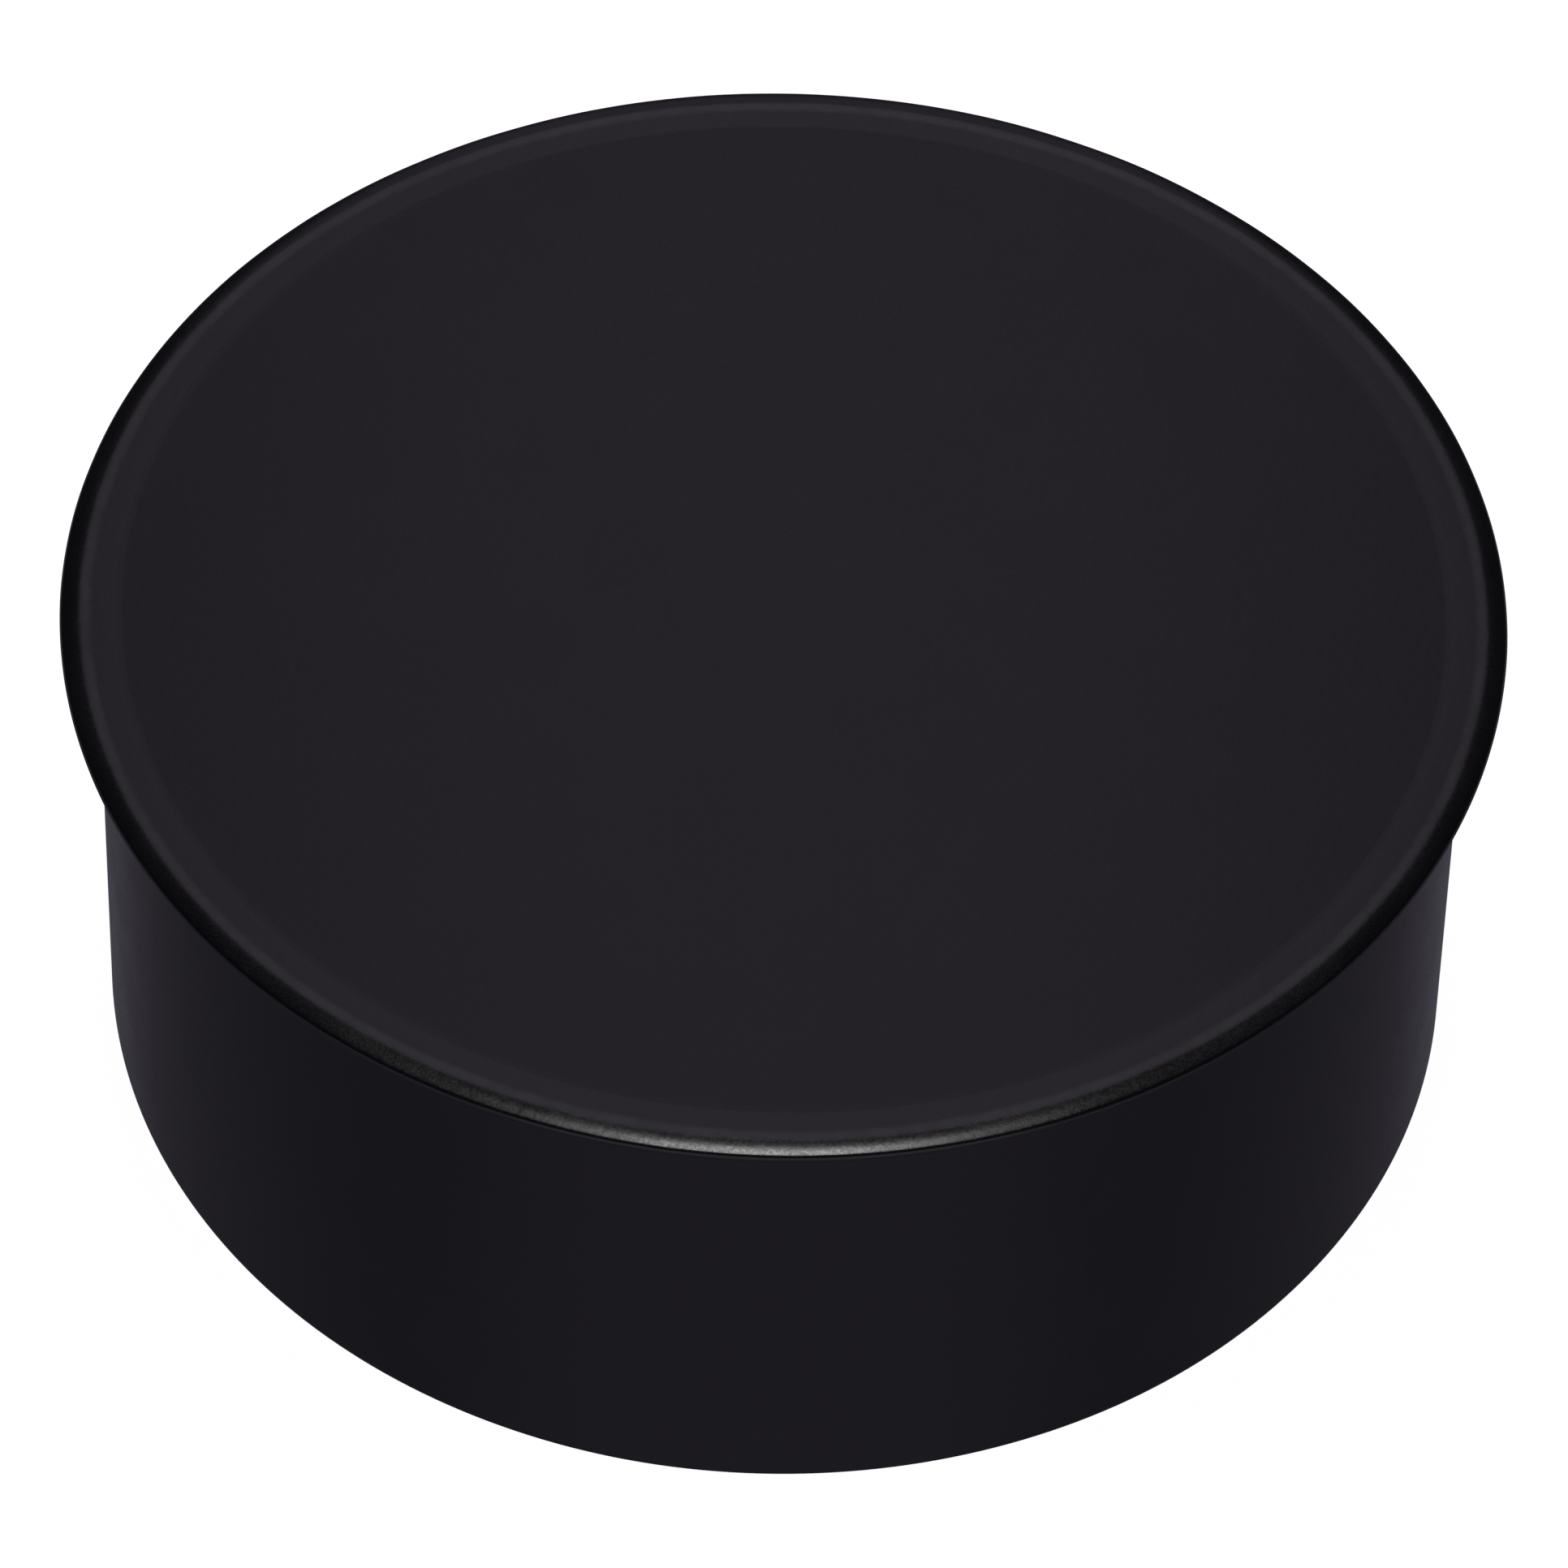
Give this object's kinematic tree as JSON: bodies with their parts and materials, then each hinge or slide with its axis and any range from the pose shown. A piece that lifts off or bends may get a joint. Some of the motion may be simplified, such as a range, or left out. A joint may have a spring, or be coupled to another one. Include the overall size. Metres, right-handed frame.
{
  "type": "stove pipe end cap",
  "caption": "Round black sheet steel end cap for a stove pipe: a flat plate with a hemmed rim, folded over the flange of a plain collar that plugs into the pipe.",
  "frame": {"origin": "centre of the collar's open edge, on the plane that the cap stands on", "axes": "+Z along the cap's axis, from the collar's open edge to the plate; +Y towards the collar's lap joint, which is at the back"},
  "size_m": [0.1574, 0.1574, 0.0586],
  "materials": {
    "black_paint": "satin, heat-resistant, with a fine grain",
    "sealant": "matte, heat-proof"
  },
  "bodies": {
    "root": {"end_plate": "black_paint", "collar": "black_paint", "seam_seal": "sealant"}
  },
  "joints": []
}
